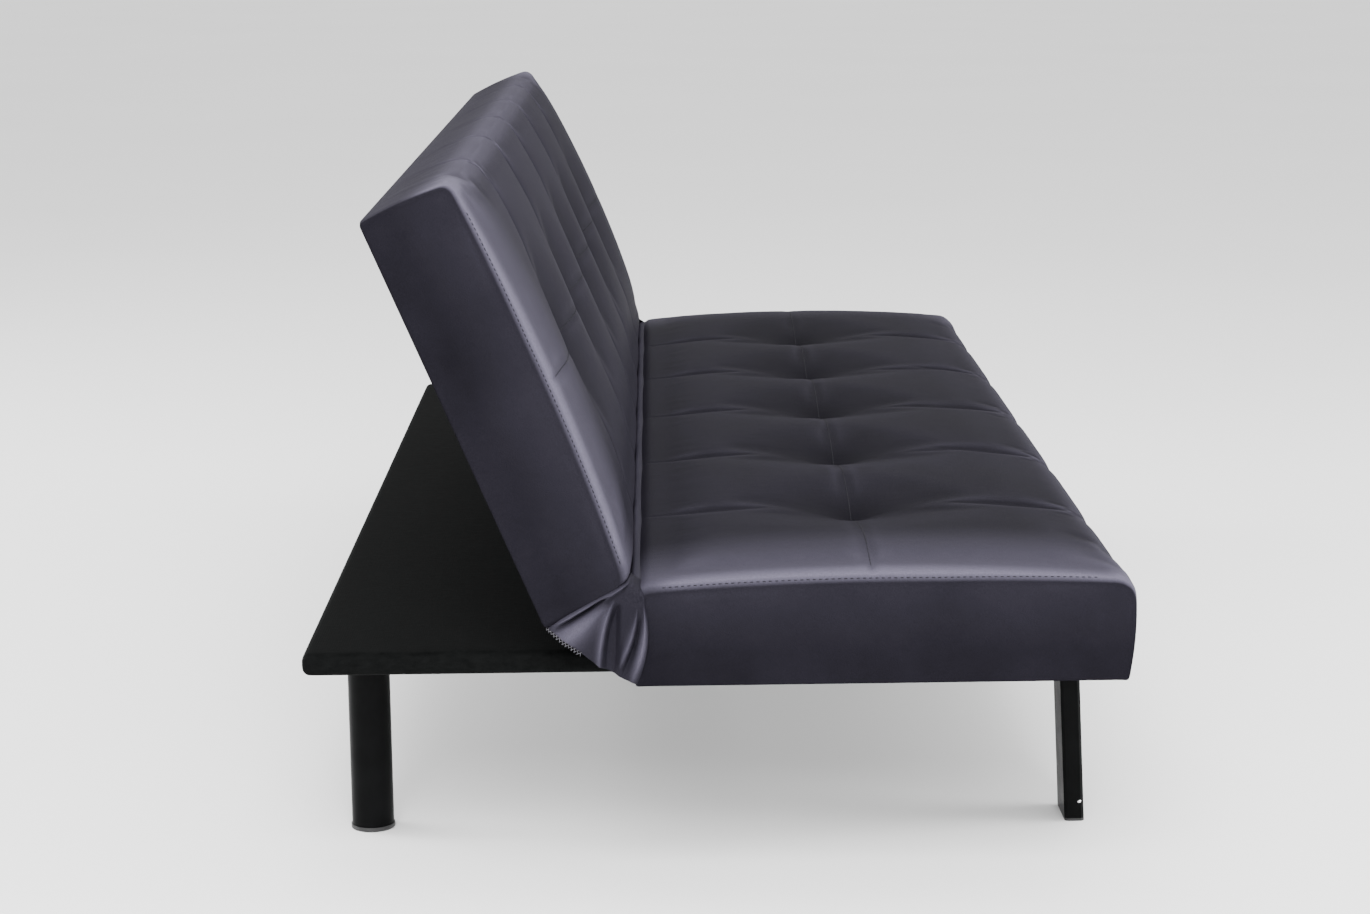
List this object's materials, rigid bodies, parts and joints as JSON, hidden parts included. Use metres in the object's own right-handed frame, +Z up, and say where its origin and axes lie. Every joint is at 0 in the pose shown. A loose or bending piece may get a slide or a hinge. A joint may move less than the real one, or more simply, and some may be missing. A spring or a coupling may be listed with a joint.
{
  "type": "sofa bed",
  "caption": "Armless velvet sofa bed: tufted seat on tube legs, backrest on ratchet hinges that folds flat over a black rear base.",
  "frame": {"origin": "centre of the floor outline, on the floor", "axes": "+X along the length, +Z up, the sitting side faces -Y"},
  "size_m": [1.8, 0.817, 0.717],
  "materials": {
    "velvet": "dark grey velvet pile",
    "black_cloth": "black non-woven cloth",
    "foam": "open-cell foam",
    "webbing": "woven elastic",
    "twine": "twisted twine",
    "frame_wood": "sawn softwood",
    "black_steel": "satin black powder coat",
    "black_plastic": "matt moulded",
    "bright_rivet": "bright",
    "plated_steel": "zinc plated"
  },
  "bodies": {
    "seat_base": {"seat_front_rail": "frame_wood", "seat_rear_rail": "frame_wood", "seat_left_rail": "frame_wood", "seat_right_rail": "frame_wood", "seat_cross_rails": "frame_wood", "front_leg_blocks": "frame_wood", "base_front_rail": "frame_wood", "base_rear_rail": "frame_wood", "base_end_rails": "frame_wood", "base_cross_rails": "frame_wood", "seat_webbing": "webbing", "seat_foam": "foam", "seat_tuft_ties": "twine", "seat_cover": "velvet", "seat_dust_cover": "black_cloth", "base_cover": "black_cloth", "base_bolts": "plated_steel", "rear_leg_left": "black_steel", "rear_leg_right": "black_steel", "rear_leg_glides": "black_plastic", "rear_leg_studs": "plated_steel", "front_leg_left": "black_steel", "front_leg_right": "black_steel", "front_leg_feet": "black_plastic", "front_leg_rivets": "bright_rivet", "front_leg_screws": "plated_steel", "hinge_seat_arm_left": "plated_steel", "hinge_seat_arm_right": "plated_steel", "hinge_pins": "plated_steel", "hinge_seat_screws": "plated_steel", "fold_gusset_left": "velvet", "fold_gusset_right": "velvet", "fold_strip": "velvet"},
    "backrest": {"back_top_rail": "frame_wood", "back_bottom_rail": "frame_wood", "back_left_rail": "frame_wood", "back_right_rail": "frame_wood", "back_cross_rails": "frame_wood", "back_webbing": "webbing", "back_foam": "foam", "back_tuft_ties": "twine", "back_cover": "velvet", "back_dust_cover": "black_cloth", "hinge_back_arm_left": "plated_steel", "hinge_back_arm_right": "plated_steel", "hinge_back_screws": "plated_steel", "pawl_pins": "plated_steel", "pawl_springs": "plated_steel"},
    "left_pawl": {"pawl_left": "plated_steel"},
    "right_pawl": {"pawl_right": "plated_steel"}
  },
  "joints": [
    {"name": "backrest_recline", "type": "hinge", "parent": "seat_base", "child": "backrest", "pos_m": [0, 0.11808, 0.29214], "axis": [-1, 0, 0], "range_deg": [-10, 67], "deforming": ["fold_gusset_left", "fold_gusset_right", "fold_strip"]},
    {"name": "left_pawl_swing", "type": "hinge", "parent": "backrest", "child": "left_pawl", "pos_m": [-0.8895, 0.14164, 0.32171], "axis": [1, 0, 0], "range_deg": [-10, 12], "stiffness_Nm_per_rad": 0.05, "springref_deg": -9.74, "deforming": ["pawl_springs"]},
    {"name": "right_pawl_swing", "type": "hinge", "parent": "backrest", "child": "right_pawl", "pos_m": [0.8895, 0.14164, 0.32171], "axis": [1, 0, 0], "range_deg": [-10, 12], "stiffness_Nm_per_rad": 0.05, "springref_deg": -9.74, "deforming": ["pawl_springs"]}
  ]
}
